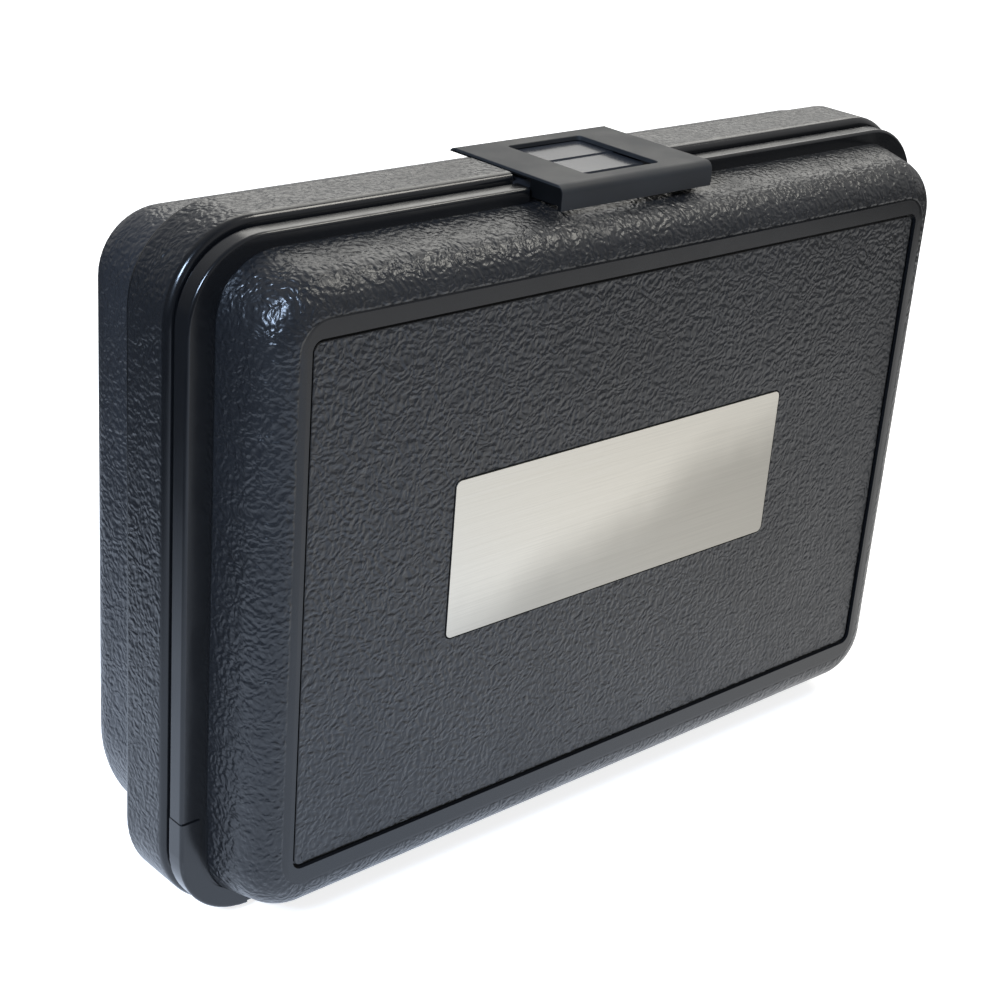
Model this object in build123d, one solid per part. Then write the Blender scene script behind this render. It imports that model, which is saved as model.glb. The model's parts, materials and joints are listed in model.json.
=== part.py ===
from build123d import *
import os

# A small moulded carrying case that stands on its hinge edge: X along its length, front towards -Y, Z up.
# All sizes are in millimetres. The origin is under the middle of the case.

# Both rims
rim_length = 226.0
rim_height = 157.2
rim_corner = 18.5
parting_gap = 0.4

# Lid
lid_depth = 21.6
rim_depth = 5.2
rim_lip = 3.3
rim_side_lip = 6.5
rim_round = 0.8
rim_back_round = 1.2
lid_taper = 2.9
body_corner = 14.0
front_corner = 13.5
front_round = 9.0
panel_side_inset = 8.6
panel_end_inset = 11.2
panel_corner = 2.6
panel_recess = 0.6
panel_groove = 0.8
panel_groove_depth = 0.6
panel_wall = 3.2
tongue_depth = 2.0
tongue_wall = 1.5
tongue_clearance = 0.3

# Raised pads on the lower corners of the lid's rim
foot_rise = 0.4
foot_skin = 0.15
foot_lip = 4.8
foot_height = 27.3
foot_length = 18.0

# Base
skirt_rise = 1.9
skirt_side_rise = 0.9
skirt_low_corner = 21.0
skirt_depth = 15.1
skirt_front_round = 1.6
skirt_back_round = 1.0
tray_step = 4.4
tray_side_step = 2.2
tray_depth = 19.4
tray_corner = 14.5
tray_low_corner = 32.0
back_round = 8.0
wall = 2.5

# Label plate in the front panel
label_length = 105.0
label_height = 38.0
label_corner = 1.5
label_x = -2.0
label_rise = 2.8
label_sheet = 0.6
label_recess = 0.6
label_margin = 0.4
adhesive_sheet = 0.15
adhesive_margin = 1.0

# Lid hinge along the bottom edge
hinge_offset = 62.0
hinge_from_skirt = 1.6
hinge_radius = 2.6
hinge_drop = 0.1
hinge_pin_radius = 1.0
lid_knuckle = 14.0
base_knuckle = 9.0
knuckle_gap = 0.3
pin_clearance = 0.03
pin_end_gap = 0.5

# Latch on the top edge
latch_width = 47.6
latch_sheet = 1.0
latch_lip = 4.6
latch_front = 35.35
latch_bend = 2.0
latch_edge_round = 0.25
cheek_length = 10.0
cheek_drop = 3.6
latch_side_gap = 1.0
latch_over_rim = 2.4
latch_barrel_radius = 2.1
latch_pin_radius = 0.6
latch_lug_radius = 1.2
latch_lug_width = 20.0
latch_knuckle = 7.2
latch_from_skirt = 5.75
window_length = 22.8
window_depth = 26.4
window_corner = 1.2
window_from_front = 5.2
shelf_gap = 0.3
shelf_from_skirt = 6.7
shelf_length = 35.0
ledge_length = 24.0
ledge_reach = 3.75
ledge_sheet = 1.7
ledge_drop = 0.3
turn_clearance = 0.3

# Foam
foam_gap = 0.3
foam_floor = 6.0
foam_set_back = 0.5
pocket_margin = 9.0
pocket_wall = 12.0
pocket_corner = 6.0
instrument_length = 148.0
probe_pocket_height = 26.0
finger_radius = 9.0

# Depths, from the front face to the back
case_depth = lid_depth + parting_gap + skirt_depth + tray_depth
front_y = -case_depth / 2
lid_back_y = front_y + lid_depth
rim_front_y = lid_back_y - rim_depth
panel_y = front_y + panel_recess
lid_inside_y = panel_y + panel_wall
skirt_front_y = lid_back_y + parting_gap
skirt_back_y = skirt_front_y + skirt_depth
back_y = skirt_back_y + tray_depth
base_inside_y = back_y - wall

# Heights
centre_z = rim_height / 2 + skirt_rise
rim_top_z = centre_z + rim_height / 2
rim_bottom_z = centre_z - rim_height / 2

# Outlines that several pieces share
skirt_length = rim_length + 2 * skirt_side_rise
skirt_height = rim_height + 2 * skirt_rise
skirt_corner = rim_corner + skirt_rise
tray_length = skirt_length - 2 * tray_side_step
tray_height = skirt_height - 2 * tray_step
hollow_length = tray_length - 2 * wall
hollow_height = tray_height - 2 * wall
hollow_corner = tray_corner - wall
hollow_low_corner = tray_low_corner - wall
body_length = rim_length - 2 * rim_side_lip
body_height = rim_height - 2 * rim_lip
front_length = body_length - 2 * lid_taper
front_height = body_height - 2 * lid_taper
tongue_length = hollow_length - 2 * tongue_clearance
tongue_height = hollow_height - 2 * tongue_clearance
tongue_corner = hollow_corner - tongue_clearance
tongue_low_corner = hollow_low_corner - tongue_clearance
lid_hollow_length = min(body_length - 2 * wall, tongue_length - 2 * tongue_wall)
lid_hollow_height = min(body_height - 2 * wall, tongue_height - 2 * tongue_wall)
lid_hollow_corner = tongue_corner - tongue_wall
lid_hollow_low_corner = tongue_low_corner - tongue_wall


def outline(length, height, corner, y, x=0, z=centre_z, low_corner=None):
    """A rounded rectangle that faces the front, at one depth; its lower corners may differ."""
    face = Rectangle(length, height)
    face = fillet(face.vertices().group_by(Axis.Y)[-1], corner)
    face = fillet(face.vertices().group_by(Axis.Y)[0], low_corner or corner)
    return Pos(x, y, z) * Rot(90, 0, 0) * face


def slab(length, height, corner, y_front, y_back, x=0, z=centre_z, low_corner=None):
    """A rounded rectangle drawn out between two depths."""
    return extrude(outline(length, height, corner, y_back, x, z, low_corner), y_back - y_front)


def block(x_size, y_front, y_back, z_bottom, z_top, x=0):
    """A box centred on one X position."""
    middle = ((y_front + y_back) / 2, (z_bottom + z_top) / 2)
    return Pos(x, middle[0], middle[1]) * Box(x_size, y_back - y_front, z_top - z_bottom)


def rod(radius, length, x, y, z):
    """A cylinder along the length of the case."""
    return Pos(x, y, z) * Rot(0, 90, 0) * Cylinder(radius, length)


def front_edges(shape):
    return shape.edges().group_by(Axis.Y)[0]


def back_edges(shape):
    return shape.edges().group_by(Axis.Y)[-1]


# Hinge: a lid knuckle between two base knuckles, in two places
hinge_y = skirt_front_y - hinge_from_skirt
hinge_z = rim_bottom_z - hinge_drop
hinge_places = [-hinge_offset, hinge_offset]
base_knuckle_shift = lid_knuckle / 2 + knuckle_gap + base_knuckle / 2
hinge_length = lid_knuckle + 2 * knuckle_gap + 2 * base_knuckle
hinge_hole = hinge_pin_radius + pin_clearance
under_case = block(rim_length, front_y, back_y, -2 * hinge_radius, 0)
base_knuckle_places = [x + side * base_knuckle_shift for x in hinge_places for side in (-1, 1)]


def knuckles(places, length):
    return [rod(hinge_radius, length, x, hinge_y, hinge_z) - under_case for x in places]


def knuckle_room(places, length):
    return [rod(hinge_radius + turn_clearance, length + 2 * knuckle_gap, x, hinge_y, hinge_z) for x in places]


hinge_holes = [rod(hinge_hole, hinge_length, x, hinge_y, hinge_z) for x in hinge_places]

# Latch: its sheet lies over the rims and turns on a pin behind the skirt
latch_pivot_y = skirt_back_y + latch_from_skirt
latch_top_z = rim_top_z + latch_over_rim
latch_under_z = latch_top_z - latch_sheet
latch_pivot_z = latch_top_z - latch_barrel_radius
latch_front_y = latch_pivot_y - latch_front
latch_notch = latch_width + 2 * latch_side_gap
knuckle_shift = latch_lug_width / 2 + knuckle_gap + latch_knuckle / 2
latch_span = latch_lug_width + 2 * knuckle_gap + 2 * latch_knuckle
shelf_z = latch_under_z - shelf_gap
ledge_z = shelf_z - ledge_drop
tray_top_z = centre_z + tray_height / 2
barrel_room = latch_barrel_radius + turn_clearance
latch_hole = latch_pin_radius + pin_clearance
body_top_z = centre_z + body_height / 2

# Lid: drafted body with a large front rounding, rim, tongue and a hollow for the foam
lid_body = loft([
    outline(body_length, body_height, body_corner, rim_front_y),
    outline(front_length, front_height, front_corner, front_y),
], ruled=True)
lid_body = fillet(front_edges(lid_body), front_round)
lid_rim = slab(rim_length, rim_height, rim_corner, rim_front_y, lid_back_y)
lid_rim = fillet(front_edges(lid_rim), rim_round)
lid_rim = fillet(back_edges(lid_rim), rim_back_round)
foot_plate = slab(rim_length + 2 * foot_skin, rim_height + 2 * foot_skin, rim_corner + foot_skin,
                  rim_front_y - foot_rise, lid_back_y)
foot_plate = fillet(front_edges(foot_plate), rim_round)
foot_plate = fillet(back_edges(foot_plate), rim_back_round)
foot_inside = slab(rim_length - 2 * foot_lip, rim_height - 2 * foot_lip, rim_corner - foot_lip,
                   rim_front_y - foot_rise, lid_back_y)
foot_bottom_z = rim_bottom_z - foot_skin
foot_places = [side * (rim_length / 2 + foot_skin - foot_length / 2) for side in (-1, 1)]
feet = [(foot_plate - foot_inside) & block(foot_length, rim_front_y - foot_rise, lid_back_y,
                                           foot_bottom_z, foot_bottom_z + foot_height, x)
        for x in foot_places]
tongue = slab(tongue_length, tongue_height, tongue_corner, rim_front_y, lid_back_y + tongue_depth,
              low_corner=tongue_low_corner)
lid_hollow = loft([
    outline(lid_hollow_length, lid_hollow_height, lid_hollow_corner, lid_back_y,
            low_corner=lid_hollow_low_corner),
    outline(front_length - 2 * wall, front_height - 2 * wall, front_corner - wall, lid_inside_y),
], ruled=True)
lid_hollow = fillet(front_edges(lid_hollow), front_round - wall)
tongue_hollow = slab(tongue_length - 2 * tongue_wall, tongue_height - 2 * tongue_wall, lid_hollow_corner,
                     lid_back_y, lid_back_y + tongue_depth, low_corner=lid_hollow_low_corner)
panel_length = front_length - 2 * panel_side_inset
panel_height = front_height - 2 * panel_end_inset
panel = slab(panel_length, panel_height, panel_corner, front_y, panel_y)
groove_floor_y = panel_y + panel_groove_depth
groove = slab(panel_length, panel_height, panel_corner, panel_y, groove_floor_y)
groove = groove - slab(panel_length - 2 * panel_groove, panel_height - 2 * panel_groove,
                       panel_corner - panel_groove, panel_y, groove_floor_y)
label_z = centre_z + label_rise
label_floor_y = panel_y + label_recess
label_seat = slab(label_length + 2 * label_margin, label_height + 2 * label_margin,
                  label_corner + label_margin, front_y, label_floor_y, label_x, label_z)
lid_latch_room = block(latch_notch, front_y, lid_back_y, body_top_z, latch_top_z)

front_shell = lid_body + lid_rim + feet + tongue - lid_hollow - tongue_hollow - panel - groove - label_seat
front_shell = front_shell - lid_latch_room - knuckle_room(base_knuckle_places, base_knuckle)
front_shell = front_shell + knuckles(hinge_places, lid_knuckle) - hinge_holes

# Base: proud skirt, narrower tray and the latch's shelf, ledge and lug
skirt = slab(skirt_length, skirt_height, skirt_corner, skirt_front_y, skirt_back_y,
             low_corner=skirt_low_corner)
skirt = fillet(front_edges(skirt), skirt_front_round)
skirt = fillet(back_edges(skirt), skirt_back_round)
tray = slab(tray_length, tray_height, tray_corner, skirt_front_y + skirt_front_round, back_y,
            low_corner=tray_low_corner)
tray = fillet(back_edges(tray), back_round)
hollow = slab(hollow_length, hollow_height, hollow_corner, skirt_front_y, base_inside_y,
              low_corner=hollow_low_corner)
hollow_round = back_round - wall
hollow = fillet(back_edges(hollow), hollow_round)
shelf_y = skirt_front_y + shelf_from_skirt
shelf = block(latch_notch, shelf_y, skirt_back_y, rim_top_z - wall, shelf_z)
pad = block(shelf_length, skirt_back_y - wall, latch_pivot_y - barrel_room, tray_top_z - wall / 2, shelf_z)
lug_block = block(latch_lug_width, skirt_back_y - wall, latch_pivot_y - turn_clearance,
                  tray_top_z - wall / 2, latch_pivot_z)
lug = rod(latch_lug_radius, latch_lug_width, 0, latch_pivot_y, latch_pivot_z)
ledge = block(ledge_length, skirt_front_y - ledge_reach, shelf_y, ledge_z - ledge_sheet, ledge_z)
skirt_latch_room = block(latch_notch, skirt_front_y, skirt_back_y, rim_top_z, latch_top_z)
latch_pin_hole = rod(latch_hole, latch_span, 0, latch_pivot_y, latch_pivot_z)

rear_shell = (skirt - skirt_latch_room) + tray + shelf + ledge + pad + lug_block + lug - hollow
rear_shell = rear_shell - knuckle_room(hinge_places, lid_knuckle)
rear_shell = rear_shell + knuckles(base_knuckle_places, base_knuckle) - hinge_holes - latch_pin_hole

# Latch plate: bent sheet with a window, two knuckles and a rounded rear edge
latch_sheet_body = block(latch_width, latch_front_y, latch_pivot_y, latch_under_z, latch_top_z)
latch_lip_body = block(latch_width, latch_front_y, latch_front_y + latch_sheet,
                       latch_under_z - latch_lip, latch_top_z)
latch_rear = rod(latch_barrel_radius, latch_width, 0, latch_pivot_y, latch_pivot_z)
above_sheet = block(latch_width, latch_pivot_y, latch_pivot_y + barrel_room, latch_under_z, latch_top_z)
latch_shape = latch_sheet_body + latch_lip_body
cheek_x = (latch_width - latch_sheet) / 2
for side in (-1, 1):
    latch_shape = latch_shape + block(latch_sheet, latch_front_y, latch_front_y + cheek_length,
                                      latch_under_z - cheek_drop, latch_top_z, side * cheek_x)
bend = [edge for edge in latch_shape.edges().filter_by(Axis.X)
        if abs(edge.center().Y - latch_front_y) < 0.01 and abs(edge.center().Z - latch_top_z) < 0.01]
latch_shape = fillet(bend, latch_bend)
bend_z = latch_top_z - latch_bend
latch_sides = [edge for edge in latch_shape.edges()
               if abs(abs(edge.center().X) - latch_width / 2) < 0.01
               and (edge.center().Z > bend_z or abs(edge.center().Y - latch_front_y) < 0.01)
               and abs(edge.center().Z - latch_under_z) > 0.01]
latch_shape = fillet(latch_sides, latch_edge_round)
window_y = latch_front_y + window_from_front + window_depth / 2
window = extrude(Pos(0, window_y, latch_under_z) * RectangleRounded(window_length, window_depth, window_corner),
                 latch_sheet)
latch_plate = latch_shape - window
window_rim = [edge for edge in latch_plate.edges()
              if abs(edge.center().Z - latch_top_z) < 0.01 and abs(edge.center().X) < window_length / 2 + 0.01
              and abs(edge.center().Y - window_y) < window_depth / 2 + 0.01]
latch_plate = fillet(window_rim, latch_edge_round)
latch_plate = latch_plate + (latch_rear & above_sheet)
for side in (-1, 1):
    latch_plate = latch_plate + rod(latch_barrel_radius, latch_knuckle, side * knuckle_shift,
                                    latch_pivot_y, latch_pivot_z)
lug_room = rod(latch_lug_radius + turn_clearance, latch_lug_width + 2 * knuckle_gap, 0,
               latch_pivot_y, latch_pivot_z)
latch_plate = latch_plate - lug_room - latch_pin_hole

# Pins
hinge_pin_length = hinge_length - 2 * pin_end_gap
hinge_pins = Compound([rod(hinge_pin_radius, hinge_pin_length, x, hinge_y, hinge_z) for x in hinge_places])
latch_pin = rod(latch_pin_radius, latch_span - 2 * pin_end_gap, 0, latch_pivot_y, latch_pivot_z)

# Label plate and its film
label_back_y = label_floor_y - adhesive_sheet
label_plate = slab(label_length, label_height, label_corner, label_back_y - label_sheet, label_back_y,
                   label_x, label_z)
label_adhesive = slab(label_length - 2 * adhesive_margin, label_height - 2 * adhesive_margin, label_corner,
                      label_back_y, label_floor_y, label_x, label_z)

# Foam: pad in the lid, cut insert and its floor in the base
lid_foam = loft([
    outline(lid_hollow_length - 2 * foam_gap, lid_hollow_height - 2 * foam_gap, lid_hollow_corner,
            lid_back_y, low_corner=lid_hollow_low_corner),
    outline(front_length - 2 * wall - 2 * foam_gap, front_height - 2 * wall - 2 * foam_gap,
            front_corner - wall, lid_inside_y),
], ruled=True)
lid_foam = fillet(front_edges(lid_foam), front_round - wall)
lid_foam = lid_foam & slab(rim_length, rim_height, rim_corner, lid_inside_y + foam_gap, lid_back_y)

foam_length = hollow_length - 2 * foam_gap
foam_height = hollow_height - 2 * foam_gap
foam_corner = hollow_corner - foam_gap
foam_low_corner = hollow_low_corner - foam_gap
foam_back_y = base_inside_y - foam_gap
floor_front_y = foam_back_y - foam_floor
insert_front_y = lid_back_y + tongue_depth + foam_set_back
insert_back_y = floor_front_y - foam_gap
base_foam_floor = slab(foam_length, foam_height, foam_corner, floor_front_y, foam_back_y,
                       low_corner=foam_low_corner)
base_foam_floor = fillet(back_edges(base_foam_floor), min(hollow_round - foam_gap, 0.9 * foam_floor))
base_foam = slab(foam_length, foam_height, foam_corner, insert_front_y, insert_back_y,
                 low_corner=foam_low_corner)

pockets_left = -foam_length / 2 + pocket_margin
pockets_right = foam_length / 2 - pocket_margin
pockets_bottom = centre_z - foam_height / 2 + pocket_margin
pockets_top = centre_z + foam_height / 2 - pocket_margin
upper_bottom = pockets_bottom + probe_pocket_height + pocket_wall
instrument_right = pockets_left + instrument_length
spares_left = instrument_right + pocket_wall


def pocket(left, right, bottom, top):
    return slab(right - left, top - bottom, pocket_corner, insert_front_y, insert_back_y,
                (left + right) / 2, (bottom + top) / 2)


instrument_pocket = pocket(pockets_left, instrument_right, upper_bottom, pockets_top)
spares_pocket = pocket(spares_left, pockets_right, upper_bottom, pockets_top)
probe_pocket = pocket(pockets_left, pockets_right, pockets_bottom, pockets_bottom + probe_pocket_height)
finger_place = Pos((pockets_left + instrument_right) / 2, insert_back_y, upper_bottom) * Rot(90, 0, 0)
finger_hollow = finger_place * extrude(Circle(finger_radius), insert_back_y - insert_front_y)
base_foam = base_foam - instrument_pocket - spares_pocket - probe_pocket - finger_hollow

nodes = {
    "front_shell": front_shell,
    "rear_shell": rear_shell,
    "hinge_pins": hinge_pins,
    "latch_plate": latch_plate,
    "latch_pin": latch_pin,
    "label_plate": label_plate,
    "label_adhesive": label_adhesive,
    "lid_foam": lid_foam,
    "base_foam": base_foam,
    "base_foam_floor": base_foam_floor,
}
os.makedirs("parts", exist_ok=True)
for name, shape in nodes.items():
    export_step(shape, f"parts/{name}.step")
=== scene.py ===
import json
import math
import bpy
import bmesh
from mathutils import Matrix, Vector

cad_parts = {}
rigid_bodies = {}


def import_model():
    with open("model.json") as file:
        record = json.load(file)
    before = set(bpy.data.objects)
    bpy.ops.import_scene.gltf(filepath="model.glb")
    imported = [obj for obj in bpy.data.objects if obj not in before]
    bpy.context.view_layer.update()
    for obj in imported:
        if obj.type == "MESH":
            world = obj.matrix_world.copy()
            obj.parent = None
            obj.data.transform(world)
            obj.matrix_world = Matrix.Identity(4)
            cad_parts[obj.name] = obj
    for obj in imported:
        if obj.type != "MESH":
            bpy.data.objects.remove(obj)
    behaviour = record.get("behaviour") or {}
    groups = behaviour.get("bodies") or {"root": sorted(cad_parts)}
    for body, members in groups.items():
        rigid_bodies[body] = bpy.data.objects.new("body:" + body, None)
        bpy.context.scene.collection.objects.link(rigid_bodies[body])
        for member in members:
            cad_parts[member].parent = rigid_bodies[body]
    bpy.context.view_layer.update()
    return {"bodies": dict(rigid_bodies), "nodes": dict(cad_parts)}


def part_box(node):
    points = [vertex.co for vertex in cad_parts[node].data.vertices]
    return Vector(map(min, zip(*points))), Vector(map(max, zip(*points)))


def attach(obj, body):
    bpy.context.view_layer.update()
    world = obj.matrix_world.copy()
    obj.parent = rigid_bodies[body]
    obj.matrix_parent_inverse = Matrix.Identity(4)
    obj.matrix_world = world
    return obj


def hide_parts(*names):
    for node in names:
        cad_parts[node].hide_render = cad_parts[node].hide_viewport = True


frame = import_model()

nodes = frame["nodes"]

# Rear shell: one black plastic moulding with a leather-like grain. The land, the riser and the back
# edge of the skirt, the latch's shelf and the inside come off polished steel, so they are smooth.
# The tray behind the skirt and the shelf get painted light: a paler colour for their bright reflections.
centre_z = 0.0805
skirt_front_y = -0.00625
skirt_depth = 0.0151
skirt_back_y = skirt_front_y + skirt_depth
skirt_back_round = 0.001
riser_depth = 0.0012
inside_half_length = 0.1092
inside_half_height = 0.0736
inside_corner = 0.012
inside_low_corner = 0.0295
back_wall_y = 0.0262
shelf_half_length = 0.02485
shelf_z = 0.1572
shelf_back_y = 0.017
soft_border = 0.0004
black_plastic = (0.0105, 0.011, 0.0125)
# Painted light: these tones make the tray and the shelf paler, for the bright reflections in them.
tray_painted_light = 1.9
shelf_painted_light = 5.0
grain_depth = 0.00032


def add(tree, kind, inputs=None, **settings):
    """A node of one kind, with its settings and the values or links of its inputs."""
    node = tree.nodes.new(kind)
    for name, value in settings.items():
        setattr(node, name, value)
    for name, value in (inputs or {}).items():
        if isinstance(value, bpy.types.NodeSocket):
            tree.links.new(value, node.inputs[name])
        else:
            node.inputs[name].default_value = value
    return node


def calc(tree, operation, *values):
    """The result of one Math node."""
    return add(tree, "ShaderNodeMath", dict(enumerate(values)), operation=operation).outputs[0]


def ease(tree, value, low, high, start=0.0, end=1.0):
    """Runs smoothly from start to end while value goes from low to high."""
    node = add(tree, "ShaderNodeMapRange", {0: value, 1: low, 2: high, 3: start, 4: end},
               interpolation_type="SMOOTHSTEP")
    return node.outputs[0]


def spread(tree, noise, start, end):
    """Takes the usual range of a noise smoothly from start to end."""
    return ease(tree, noise, 0.3, 0.7, start, end)


def all_of(tree, *masks):
    """The product of several masks, which is 1 only where each of them is."""
    product = masks[0]
    for mask in masks[1:]:
        product = calc(tree, "MULTIPLY", product, mask)
    return product


def beyond(tree, x, z, half_length, half_height, corner, low_corner=None):
    """How far a point lies outside a rounded rectangle that faces the front, negative inside."""
    if low_corner:
        below = calc(tree, "LESS_THAN", z, centre_z)
        corner = calc(tree, "ADD", corner, calc(tree, "MULTIPLY", below, low_corner - corner))
        half_length = calc(tree, "SUBTRACT", half_length, corner)
        half_height = calc(tree, "SUBTRACT", half_height, corner)
    else:
        half_length = half_length - corner
        half_height = half_height - corner
    over_x = calc(tree, "MAXIMUM", calc(tree, "SUBTRACT", calc(tree, "ABSOLUTE", x), half_length), 0.0)
    height = calc(tree, "ABSOLUTE", calc(tree, "SUBTRACT", z, centre_z))
    over_z = calc(tree, "MAXIMUM", calc(tree, "SUBTRACT", height, half_height), 0.0)
    squares = calc(tree, "ADD", calc(tree, "MULTIPLY", over_x, over_x),
                   calc(tree, "MULTIPLY", over_z, over_z))
    return calc(tree, "SUBTRACT", calc(tree, "SQRT", squares), corner)


def new_material(name):
    """An empty node material: its tree, its shader and the place on the object."""
    material = bpy.data.materials.new(name)
    material.use_nodes = True
    tree = material.node_tree
    shader = tree.nodes["Principled BSDF"]
    place = add(tree, "ShaderNodeTexCoord").outputs["Object"]
    return material, tree, shader, place


def axes(tree, place):
    """The x, y and z of a place."""
    return add(tree, "ShaderNodeSeparateXYZ", {0: place}).outputs


def paint(tree, shader, colour, tone):
    """Gives the surface a colour, lighter or darker by a tone."""
    toned = add(tree, "ShaderNodeVectorMath", {0: colour, "Scale": tone}, operation="SCALE")
    tree.links.new(toned.outputs[0], shader.inputs["Base Color"])


def relief(tree, shader, height, strength, depth):
    """Gives the surface a relief too fine to be in its mesh."""
    bump = add(tree, "ShaderNodeBump", {"Height": height, "Strength": strength, "Distance": depth})
    tree.links.new(bump.outputs[0], shader.inputs["Normal"])


def cover(piece, material):
    """Gives a moulded or cut piece one material all over."""
    nodes[piece].data.materials.clear()
    nodes[piece].data.materials.append(material)


def grain_height(tree, place):
    """Leather grain as moulded plastic carries it: soft folds with round pebbles between them."""
    drift = add(tree, "ShaderNodeTexNoise", {"Vector": place, "Scale": 180.0, "Detail": 1.0})
    shift = add(tree, "ShaderNodeVectorMath", {0: drift.outputs["Color"], 1: (0.5, 0.5, 0.5)},
                operation="SUBTRACT")
    shift = add(tree, "ShaderNodeVectorMath", {0: shift.outputs[0], "Scale": 0.003}, operation="SCALE")
    moved = add(tree, "ShaderNodeVectorMath", {0: place, 1: shift.outputs[0]}, operation="ADD").outputs[0]
    folds = add(tree, "ShaderNodeTexNoise",
                {"Vector": moved, "Scale": 980.0, "Detail": 0.6, "Distortion": 0.2})
    pebbles = add(tree, "ShaderNodeTexVoronoi", {"Vector": moved, "Scale": 740.0}, feature="SMOOTH_F1")
    return calc(tree, "SUBTRACT", calc(tree, "MULTIPLY", folds.outputs["Fac"], 1.5),
                calc(tree, "MULTIPLY", pebbles.outputs["Distance"], 0.9))


def finish_plastic(tree, shader, place, grained, painted_light_tone=1.0):
    """Black plastic that is grained where the mask is 1, and smooth and deeper black where it is 0.
    A tone above 1 paints light into its colour and makes it paler.
    """
    cloud = add(tree, "ShaderNodeTexNoise", {"Vector": place, "Scale": 22.0, "Detail": 4.0})
    tone = calc(tree, "MULTIPLY", spread(tree, cloud.outputs["Fac"], 0.85, 1.2), painted_light_tone)
    tone = calc(tree, "MULTIPLY", tone, ease(tree, grained, 0.0, 1.0, 0.55, 1.0))
    paint(tree, shader, black_plastic, tone)
    scuffs = add(tree, "ShaderNodeTexNoise",
                 {"Vector": place, "Scale": 60.0, "Detail": 6.0, "Roughness": 0.7})
    wear = ease(tree, scuffs.outputs["Fac"], 0.35, 0.75, -0.04, 0.07)
    gloss = calc(tree, "ADD", ease(tree, grained, 0.0, 1.0, 0.20, 0.32), wear)
    tree.links.new(gloss, shader.inputs["Roughness"])
    relief(tree, shader, calc(tree, "MULTIPLY", grain_height(tree, place), grained), 0.8, grain_depth)
    shader.inputs["IOR"].default_value = 1.5


rear_plastic, tree, shader, place = new_material("grained_black_plastic_base")
x, y, z = axes(tree, place)
behind_riser = ease(tree, y, skirt_front_y + riser_depth, skirt_front_y + 2 * riser_depth)
past_inside = beyond(tree, x, z, inside_half_length, inside_half_height, inside_corner, inside_low_corner)
outside = calc(tree, "MAXIMUM", ease(tree, past_inside, 0.0002, 0.0006),
               ease(tree, y, back_wall_y, back_wall_y + soft_border))
shelf = all_of(tree, calc(tree, "LESS_THAN", calc(tree, "ABSOLUTE", x), shelf_half_length),
               calc(tree, "GREATER_THAN", z, shelf_z), calc(tree, "LESS_THAN", y, shelf_back_y))
from_back_edge = calc(tree, "ABSOLUTE", calc(tree, "SUBTRACT", y, skirt_back_y - skirt_back_round / 2))
off_back_edge = ease(tree, from_back_edge, 0.00055, 0.0008)
grained = all_of(tree, behind_riser, outside, calc(tree, "SUBTRACT", 1.0, shelf), off_back_edge)
# Painted light: the tray behind the skirt and the latch's shelf get a paler colour, for their bright
# reflections.
painted_light_tone = calc(tree, "ADD", ease(tree, y, skirt_back_y, skirt_back_y + soft_border, 1.0, tray_painted_light),
             calc(tree, "MULTIPLY", shelf, shelf_painted_light))
finish_plastic(tree, shader, place, grained, painted_light_tone)
cover("rear_shell", rear_plastic)

# Foam floor: a thin sheet of charcoal polyurethane foam in the bottom of the base, which is the floor
# of the pockets. It is cut to the shell and pressed in.
foam_grey = (0.03, 0.031, 0.034)
corner_steps = 8
sheet_side_gap = 0.0009
sheet_back_gap = 0.0003
sheet_corner = 0.0108
sheet_low_corner = 0.0283
sheet_edge = 0.0027


def arc_outline(half_length, half_height, corner, middle=(0.0, 0.0), low_corner=None):
    """The points of a rounded rectangle, counter-clockwise."""
    points = []
    for turn, (sx, sz) in enumerate(((1, 1), (-1, 1), (-1, -1), (1, -1))):
        radius = low_corner if low_corner and sz < 0 else corner
        for step in range(corner_steps + 1):
            angle = math.radians(90 * turn + 90 * step / corner_steps)
            points.append((middle[0] + sx * (half_length - radius) + radius * math.cos(angle),
                           middle[1] + sz * (half_height - radius) + radius * math.sin(angle)))
    return points


def cut_sheet(name, outlines, front_y, back_y, edge):
    """A sheet of foam between two depths, cut to closed outlines, its edges rounded by edge."""
    curve = bpy.data.curves.new(name, "CURVE")
    curve.dimensions = "2D"
    curve.fill_mode = "BOTH"
    for outline in outlines:
        spline = curve.splines.new("POLY")
        spline.points.add(len(outline) - 1)
        for point, (px, pz) in zip(spline.points, outline):
            point.co = (px, pz, 0, 1)
        spline.use_cyclic_u = True
    curve.extrude = (back_y - front_y) / 2 - edge
    curve.bevel_depth = edge
    curve.bevel_resolution = 2
    curve.offset = -edge
    flat = bpy.data.objects.new(name + "_curve", curve)
    bpy.context.scene.collection.objects.link(flat)
    bpy.context.view_layer.update()
    mesh = bpy.data.meshes.new_from_object(flat.evaluated_get(bpy.context.evaluated_depsgraph_get()))
    bpy.data.objects.remove(flat)
    mesh.name = name
    upright = Matrix.Rotation(math.pi / 2, 4, "X")
    mesh.transform(Matrix.Translation((0, (front_y + back_y) / 2, centre_z)) @ upright)
    shape = bmesh.new()
    shape.from_mesh(mesh)
    bmesh.ops.remove_doubles(shape, verts=shape.verts, dist=1e-6)
    bmesh.ops.recalc_face_normals(shape, faces=shape.faces)
    shape.to_mesh(mesh)
    shape.free()
    piece = bpy.data.objects.new(name, mesh)
    bpy.context.scene.collection.objects.link(piece)
    return piece


def open_cell_foam(name):
    """Charcoal polyurethane foam: a dull face full of tiny open cells."""
    material, tree, shader, place = new_material(name)
    cells = add(tree, "ShaderNodeTexVoronoi", {"Vector": place, "Scale": 1500.0}, feature="F1")
    clumps = add(tree, "ShaderNodeTexNoise", {"Vector": place, "Scale": 420.0, "Detail": 5.0})
    height = calc(tree, "ADD", cells.outputs["Distance"], clumps.outputs["Fac"])
    relief(tree, shader, height, 0.8, 0.0004)
    paint(tree, shader, foam_grey, spread(tree, clumps.outputs["Fac"], 0.7, 1.35))
    shader.inputs["Roughness"].default_value = 0.95
    shader.inputs["Sheen Weight"].default_value = 0.15
    return material


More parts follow.
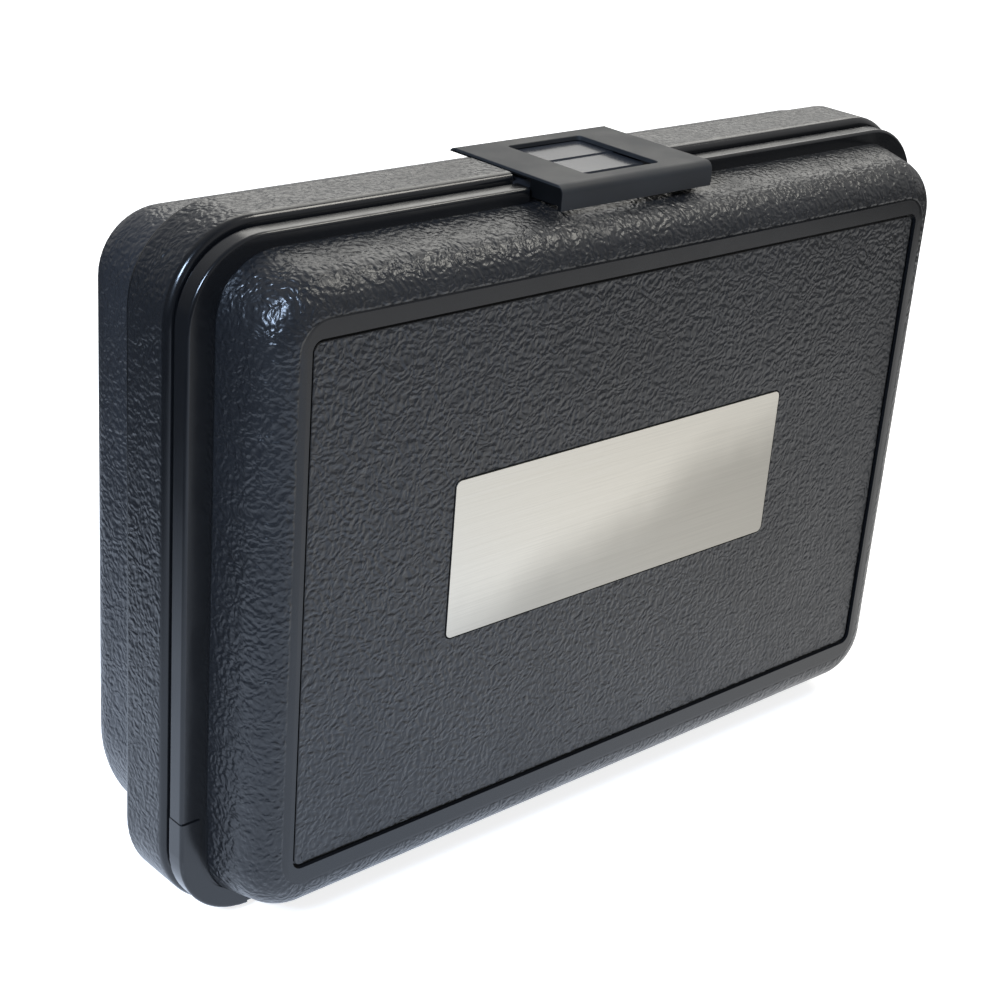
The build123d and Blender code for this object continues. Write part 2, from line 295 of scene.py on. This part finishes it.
foam = open_cell_foam("charcoal_foam")
low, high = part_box("base_foam_floor")
floor_outline = arc_outline(high[0] - sheet_side_gap, (high[2] - low[2]) / 2 - sheet_side_gap,
                            sheet_corner, low_corner=sheet_low_corner)
floor_sheet = cut_sheet("foam_floor_sheet", [floor_outline], low[1], high[1] - sheet_back_gap, sheet_edge)
floor_sheet.data.materials.append(foam)
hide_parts("base_foam_floor")
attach(floor_sheet, "base")

# Foam insert: a thick block die-cut with pockets for the instrument, its probe and small parts.
# The instrument pocket has a finger hollow in its lower edge.
low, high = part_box("base_foam")
foam_half_length = high[0]
foam_half_height = (high[2] - low[2]) / 2
insert_corner = 0.0117
insert_low_corner = 0.0292
insert_edge = 0.0008
pocket_margin = 0.009
pocket_corner = 0.006
pocket_wall = 0.012
probe_height = 0.026
instrument_length = 0.148
finger_radius = 0.009
left = -foam_half_length + pocket_margin
right = foam_half_length - pocket_margin
bottom = -foam_half_height + pocket_margin
top = foam_half_height - pocket_margin
upper = bottom + probe_height + pocket_wall
instrument_right = left + instrument_length
spares_left = instrument_right + pocket_wall


def pocket_outline(x0, x1, z0, z1):
    """The outline of a pocket between two lengths and two heights."""
    middle = ((x0 + x1) / 2, (z0 + z1) / 2)
    return arc_outline((x1 - x0) / 2, (z1 - z0) / 2, pocket_corner, middle)


instrument = pocket_outline(left, instrument_right, upper, top)
finger_x = (left + instrument_right) / 2
finger = []
for degrees in range(180, 361, 15):
    angle = math.radians(degrees)
    finger.append((finger_x + finger_radius * math.cos(angle), upper + finger_radius * math.sin(angle)))
# The finger hollow goes in after three corners, where the outline runs along the pocket's lower edge
three_corners = 3 * (corner_steps + 1)
instrument = instrument[:three_corners] + finger + instrument[three_corners:]
insert = cut_sheet("foam_insert", [
    arc_outline(foam_half_length, foam_half_height, insert_corner, low_corner=insert_low_corner),
    instrument,
    pocket_outline(spares_left, right, upper, top),
    pocket_outline(left, right, bottom, bottom + probe_height),
], low[1], high[1], insert_edge)
insert.data.materials.append(foam)
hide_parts("base_foam")
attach(insert, "base")

# Pins: drawn steel wire. Two lie in the knuckles along the bottom edge and carry the lid, and a thinner
# one under the rear end of the latch plate carries the latch.
steel, tree, shader, place = new_material("drawn_steel")
lines = add(tree, "ShaderNodeMapping", {"Vector": place, "Scale": (40.0, 2500.0, 2500.0)})
drawn = add(tree, "ShaderNodeTexNoise", {"Vector": lines.outputs[0], "Scale": 1.0, "Detail": 3.0})
tree.links.new(spread(tree, drawn.outputs["Fac"], 0.22, 0.38), shader.inputs["Roughness"])
shader.inputs["Base Color"].default_value = (0.56, 0.56, 0.55, 1)
shader.inputs["Metallic"].default_value = 1.0
for pin in ("hinge_pins", "latch_pin"):
    cover(pin, steel)

# Front shell: the lid, moulded in the same black plastic. Its rim and the narrow band around the
# panel are smooth, and the panel, the big rounding and the sides are grained.
lid_rim_front_y = -0.01185
foot_inner_x = 0.0948
foot_top_z = 0.0294
lid_hollow_front_y = -0.0246
# Half length, half height and corner of the lid's hollow and of the band's two edges
lid_hollow = (0.1012, 0.0701, 0.011)
band_outer_edge = (0.098, 0.0657, 0.0075)
band_inner_edge = (0.0941, 0.0603, 0.0018)
front_plastic, tree, shader, place = new_material("grained_black_plastic_lid")
x, y, z = axes(tree, place)
before_rim = ease(tree, y, lid_rim_front_y - 0.0003, lid_rim_front_y - 0.0001, 1.0, 0.0)
before_foot = ease(tree, y, lid_rim_front_y - 0.0009, lid_rim_front_y - 0.0005, 1.0, 0.0)
foot = all_of(tree, calc(tree, "GREATER_THAN", calc(tree, "ABSOLUTE", x), foot_inner_x),
              calc(tree, "LESS_THAN", z, foot_top_z))
before_rim = calc(tree, "MINIMUM", before_rim,
                  calc(tree, "MAXIMUM", before_foot, calc(tree, "SUBTRACT", 1.0, foot)))
around_band = ease(tree, beyond(tree, x, z, *band_outer_edge), -0.0004, 0.0002)
within_band = ease(tree, beyond(tree, x, z, *band_inner_edge), -0.0002, 0.0001, 1.0, 0.0)
off_band = calc(tree, "MAXIMUM", around_band, within_band)
hollow = all_of(tree, calc(tree, "GREATER_THAN", y, lid_hollow_front_y),
                calc(tree, "LESS_THAN", beyond(tree, x, z, *lid_hollow), 0.0))
grained = all_of(tree, before_rim, off_band, calc(tree, "SUBTRACT", 1.0, hollow))
finish_plastic(tree, shader, place, grained)
cover("front_shell", front_plastic)

# Lid foam: a convoluted pad that presses on what lies in the pockets. Its peaks reach the
# parting line and its flat side is glued in the lid.
low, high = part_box("lid_foam")
pad_side_gap = 0.0015
pad_front_gap = 0.0006
pad_back_gap = 0.0004
pad_half_length = high[0] - pad_side_gap
pad_half_height = (high[2] - low[2]) / 2 - pad_side_gap
pad_back_y = high[1] - pad_back_gap
pad_front_y = low[1] + pad_front_gap
pad_corner = 0.012
low_corner_growth = 0.015
glued_side_inset = 0.004
border_width = 0.006
border_dip = 0.25
wave = 0.0045
pitch = 0.026
pad_mesh = bpy.data.meshes.new("lid_foam_pad")
shape = bmesh.new()
columns, rows = 128, 88


def pad_point(u, v, depth):
    """A point of the pad on a grid that is bent to rounded corners; depth 1 is the waved face."""
    px = (2 * u - 1) * pad_half_length
    pz = (2 * v - 1) * pad_half_height
    corner = pad_corner if v > 0.5 else pad_corner + low_corner_growth * depth
    over_x = max(abs(px) - pad_half_length + corner, 0.0)
    over_z = max(abs(pz) - pad_half_height + corner, 0.0)
    if over_x > 0 and over_z > 0:
        longest = max(over_x, over_z)
        shrink = longest / math.hypot(over_x, over_z)
        px = math.copysign(pad_half_length - corner + over_x * shrink, px)
        pz = math.copysign(pad_half_height - corner + over_z * shrink, pz)
    border = min(pad_half_length - abs(px), pad_half_height - abs(pz))
    fade = min(border / border_width, 1.0)
    ripple = 0.5 - 0.5 * math.cos(2 * math.pi * px / pitch) * math.cos(2 * math.pi * pz / pitch)
    dip = wave * (ripple * fade + border_dip * (1 - fade))
    py = pad_front_y + depth * (pad_back_y - dip - pad_front_y)
    inset = glued_side_inset * (1 - depth)
    scale_x = 1 - inset / pad_half_length
    scale_z = 1 - inset / pad_half_height
    return Vector((px * scale_x, py, centre_z + pz * scale_z))


def pad_sheet(depth):
    """The corner points of one face of the pad, row by row."""
    return [[shape.verts.new(pad_point(c / columns, r / rows, depth)) for c in range(columns + 1)]
            for r in range(rows + 1)]


waved = pad_sheet(1.0)
flat = pad_sheet(0.0)
for r in range(rows):
    for c in range(columns):
        shape.faces.new((waved[r][c], waved[r][c + 1], waved[r + 1][c + 1], waved[r + 1][c]))
        shape.faces.new((flat[r][c], flat[r + 1][c], flat[r + 1][c + 1], flat[r][c + 1]))
for c in range(columns):
    shape.faces.new((flat[0][c], flat[0][c + 1], waved[0][c + 1], waved[0][c]))
    shape.faces.new((waved[rows][c], waved[rows][c + 1], flat[rows][c + 1], flat[rows][c]))
for r in range(rows):
    shape.faces.new((waved[r][0], waved[r + 1][0], flat[r + 1][0], flat[r][0]))
    shape.faces.new((flat[r][columns], flat[r + 1][columns], waved[r + 1][columns], waved[r][columns]))
bmesh.ops.recalc_face_normals(shape, faces=shape.faces)
shape.to_mesh(pad_mesh)
shape.free()
pad_mesh.shade_smooth()
lid_pad = bpy.data.objects.new("lid_foam_pad", pad_mesh)
bpy.context.scene.collection.objects.link(lid_pad)
lid_pad.data.materials.append(foam)
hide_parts("lid_foam")
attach(lid_pad, "lid")

# Label plate: a bare sheet of thin aluminium, brushed along its length, with a painted reflection that
# grows darker past a wavy edge towards its lower right. A film of adhesive holds it in its shallow seat.
aluminium = (0.672, 0.645, 0.578)
label_middle_z = 0.083
film, tree, shader, place = new_material("adhesive_film")
shader.inputs["Base Color"].default_value = (0.7, 0.7, 0.66, 1)
haze = add(tree, "ShaderNodeTexNoise", {"Vector": place, "Scale": 300.0, "Detail": 2.0})
tree.links.new(spread(tree, haze.outputs["Fac"], 0.4, 0.6), shader.inputs["Roughness"])
cover("label_adhesive", film)

brushed, tree, shader, place = new_material("brushed_aluminium")
strokes = add(tree, "ShaderNodeMapping", {"Vector": place, "Scale": (55.0, 900.0, 5200.0)})
fine = add(tree, "ShaderNodeTexNoise", {"Vector": strokes.outputs[0], "Scale": 1.0, "Detail": 4.0})
long_strokes = add(tree, "ShaderNodeMapping", {"Vector": place, "Scale": (12.0, 300.0, 1600.0)})
coarse = add(tree, "ShaderNodeTexNoise", {"Vector": long_strokes.outputs[0], "Scale": 1.0, "Detail": 2.0})
blend = calc(tree, "ADD", calc(tree, "MULTIPLY", fine.outputs["Fac"], 0.6),
             calc(tree, "MULTIPLY", coarse.outputs["Fac"], 0.4))
reflection_edge_waves = add(tree, "ShaderNodeTexNoise", {"Vector": place, "Scale": 28.0, "Detail": 3.0})
x, y, z = axes(tree, place)
# Painted reflection: the colour darkens to 0.6 past a wavy diagonal edge towards the lower right.
down = calc(tree, "SUBTRACT", calc(tree, "MULTIPLY", x, 0.30),
            calc(tree, "SUBTRACT", z, label_middle_z))
uneven = calc(tree, "MULTIPLY", calc(tree, "SUBTRACT", reflection_edge_waves.outputs["Fac"], 0.5), 0.020)
painted_reflection_shade = ease(tree, calc(tree, "ADD", down, uneven), -0.009, 0.013, 1.0, 0.6)
paint(tree, shader, aluminium, calc(tree, "MULTIPLY", spread(tree, blend, 0.90, 1.08), painted_reflection_shade))
tree.links.new(spread(tree, blend, 0.30, 0.44), shader.inputs["Roughness"])
relief(tree, shader, blend, 0.12, 0.00005)
shader.inputs["Metallic"].default_value = 1.0
cover("label_plate", brushed)

# Latch plate: a smooth plate of dark grey plastic with a window and a front lip, which turns on its
# pin at the back. Its cheeks beside the shelf are painted with shade that makes them nearly black.
latch_grey = (0.018, 0.0188, 0.0202)
cheek_x = 0.02365
cheek_top_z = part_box("latch_plate")[1][2] - 0.0006
latch_plastic, tree, shader, place = new_material("latch_plastic")
x, y, z = axes(tree, place)
# Painted shade: the cheeks' colour drops to 0.15 of the grey and their specular level to 0.15.
cheek_shade_mask = all_of(tree, calc(tree, "GREATER_THAN", calc(tree, "ABSOLUTE", x), cheek_x),
               calc(tree, "LESS_THAN", z, cheek_top_z))
cloud = add(tree, "ShaderNodeTexNoise", {"Vector": place, "Scale": 90.0, "Detail": 4.0})
tone = calc(tree, "MULTIPLY", spread(tree, cloud.outputs["Fac"], 0.85, 1.15),
            ease(tree, cheek_shade_mask, 0.0, 1.0, 1.0, 0.15))
paint(tree, shader, latch_grey, tone)
matt = add(tree, "ShaderNodeTexNoise", {"Vector": place, "Scale": 2600.0, "Detail": 2.0})
relief(tree, shader, matt.outputs["Fac"], 0.25, 0.00004)
tree.links.new(spread(tree, cloud.outputs["Fac"], 0.52, 0.62), shader.inputs["Roughness"])
tree.links.new(ease(tree, cheek_shade_mask, 0.0, 1.0, 0.5, 0.15), shader.inputs["Specular IOR Level"])
shader.inputs["IOR"].default_value = 1.42
cover("latch_plate", latch_plastic)

# Floor: a wide pale sheet, white to the camera with a faint shadow. The case mirrors it as a pool of
# light that is dimmer to the front left and dark farther out. The sheet sinks as the lid swings down
# past the hinge edge, as if the case stood on the edge of a shelf.
reach = 4
white = (1, 1, 1, 1)
cool_white = (0.84, 0.96, 1.16, 1)
camera_glow = 0.78
pool_middle = (0.13, -0.14, 0.0)
lid_opening = math.radians(125)
sink_depth = 0.13
corners = [(-reach, -reach, 0), (reach, -reach, 0), (reach, reach, 0), (-reach, reach, 0)]
floor_mesh = bpy.data.meshes.new("floor")
floor_mesh.from_pydata(corners, [], [(0, 1, 2, 3)])
floor = bpy.data.objects.new("floor", floor_mesh)
bpy.context.scene.collection.objects.link(floor)
pale, tree, shader, place = new_material("pale_floor")
shader.inputs["Base Color"].default_value = (0.86, 0.86, 0.86, 1)
shader.inputs["Roughness"].default_value = 0.9
shader.inputs["Specular IOR Level"].default_value = 0.1
x, y, z = axes(tree, place)
from_middle = add(tree, "ShaderNodeVectorMath", {0: place, 1: pool_middle}, operation="DISTANCE")
pool = ease(tree, from_middle.outputs["Value"], 0.31, 0.54, 1.0, 0.04)
pool = calc(tree, "MULTIPLY", pool, ease(tree, x, 0.0, 0.3, 1.34, 0.99))
slant = calc(tree, "ADD", y, calc(tree, "MULTIPLY", x, 0.45))
pool = calc(tree, "MULTIPLY", pool, ease(tree, slant, -0.28, -0.12, 0.75, 1.0))
pool_colour = add(tree, "ShaderNodeMix", {0: ease(tree, x, -0.1, 0.15), 6: cool_white, 7: white},
                  data_type="RGBA")
mirrored = add(tree, "ShaderNodeEmission", {"Color": pool_colour.outputs[2], "Strength": pool})
rays = add(tree, "ShaderNodeLightPath")
to_camera = calc(tree, "MULTIPLY", rays.outputs["Is Camera Ray"], camera_glow)
glow = add(tree, "ShaderNodeEmission", {"Color": white, "Strength": to_camera})
lit = add(tree, "ShaderNodeAddShader", {0: shader.outputs[0], 1: glow.outputs[0]})
both = add(tree, "ShaderNodeMixShader", {0: rays.outputs["Is Glossy Ray"], 1: lit.outputs[0],
                                         2: mirrored.outputs[0]})
tree.links.new(both.outputs[0], tree.nodes["Material Output"].inputs["Surface"])
floor.data.materials.append(pale)
sink = floor.constraints.new("TRANSFORM")
sink.target = frame["bodies"]["lid"]
sink.map_from = "ROTATION"
sink.from_max_x_rot = lid_opening
sink.map_to = "LOCATION"
sink.map_to_z_from = "X"
sink.to_max_z = -sink_depth

# Light: a white room that is brightest at the rear right and the front right. A cool lamp hangs above
# the front left, a warm one above the front right and a large soft one behind at the right.
rear_right = (0.60, 0.55, 0.58)
front_right = (0.62, -0.78, 0.10)
room_light = 0.3
world = bpy.data.worlds.new("room")
bpy.context.scene.world = world
world.use_nodes = True
tree = world.node_tree
rays = add(tree, "ShaderNodeLightPath")
direction = add(tree, "ShaderNodeTexCoord").outputs["Generated"]
to_rear = add(tree, "ShaderNodeVectorMath", {0: direction, 1: rear_right}, operation="DOT_PRODUCT")
to_front = add(tree, "ShaderNodeVectorMath", {0: direction, 1: front_right}, operation="DOT_PRODUCT")
reflected = calc(tree, "ADD", ease(tree, to_rear.outputs["Value"], 0.0, 0.95, 0.10, 0.54),
                 ease(tree, to_front.outputs["Value"], 0.45, 0.95, 0.0, 0.32))
glossy = rays.outputs["Is Glossy Ray"]
strength = calc(tree, "ADD", calc(tree, "MULTIPLY", glossy, reflected),
                calc(tree, "MULTIPLY", calc(tree, "SUBTRACT", 1.0, glossy), room_light))
seen = calc(tree, "MAXIMUM", rays.outputs["Is Camera Ray"], rays.outputs["Is Transmission Ray"])
strength = calc(tree, "ADD", seen, calc(tree, "MULTIPLY", calc(tree, "SUBTRACT", 1.0, seen), strength))
room = tree.nodes["Background"]
room.inputs["Color"].default_value = white
tree.links.new(strength, room.inputs["Strength"])


def soft_lamp(name, place, aim, size, power, colour):
    """A square area lamp that faces a point."""
    lamp = bpy.data.lights.new(name, "AREA")
    lamp.size = size
    lamp.energy = power
    lamp.color = colour
    holder = bpy.data.objects.new(name, lamp)
    bpy.context.scene.collection.objects.link(holder)
    turn = (Vector(aim) - Vector(place)).to_track_quat("-Z", "Y")
    holder.matrix_world = Matrix.Translation(place) @ turn.to_matrix().to_4x4()


soft_lamp("left_window", (-0.71, -0.30, 0.60), (-0.10, -0.02, 0.147), 0.22, 9.5, (0.58, 0.74, 1.0))
soft_lamp("front_above", (0.40, -0.235, 0.758), (-0.075, -0.01, 0.158), 0.22, 1.7, (1.0, 0.97, 0.88))
soft_lamp("rear_right", (0.55, 0.55, 0.75), (0, 0, 0.1), 0.8, 4.0, (1.0, 0.98, 0.92))

# Camera: where the photograph was taken, above the front left of the case, with the same direction,
# small tilt and lens.
camera_place = Vector((-0.3209, -0.3204, 0.2745))
camera_aim = Vector((-0.0419, -0.02825, 0.09525))
camera_roll = math.radians(4.67)
forward = (camera_aim - camera_place).normalized()
level = forward.cross(Vector((0, 0, 1))).normalized()
above = level.cross(forward)
across = level * math.cos(camera_roll) + above * math.sin(camera_roll)
upward = above * math.cos(camera_roll) - level * math.sin(camera_roll)
turned = Matrix((across, upward, -forward)).transposed().to_4x4()
lens = bpy.data.cameras.new("camera")
lens.lens = 72.7
lens.sensor_width = 36.0
camera = bpy.data.objects.new("camera", lens)
bpy.context.scene.collection.objects.link(camera)
camera.matrix_world = Matrix.Translation(camera_place) @ turned
bpy.context.scene.camera = camera
bpy.context.scene.view_settings.view_transform = "Standard"
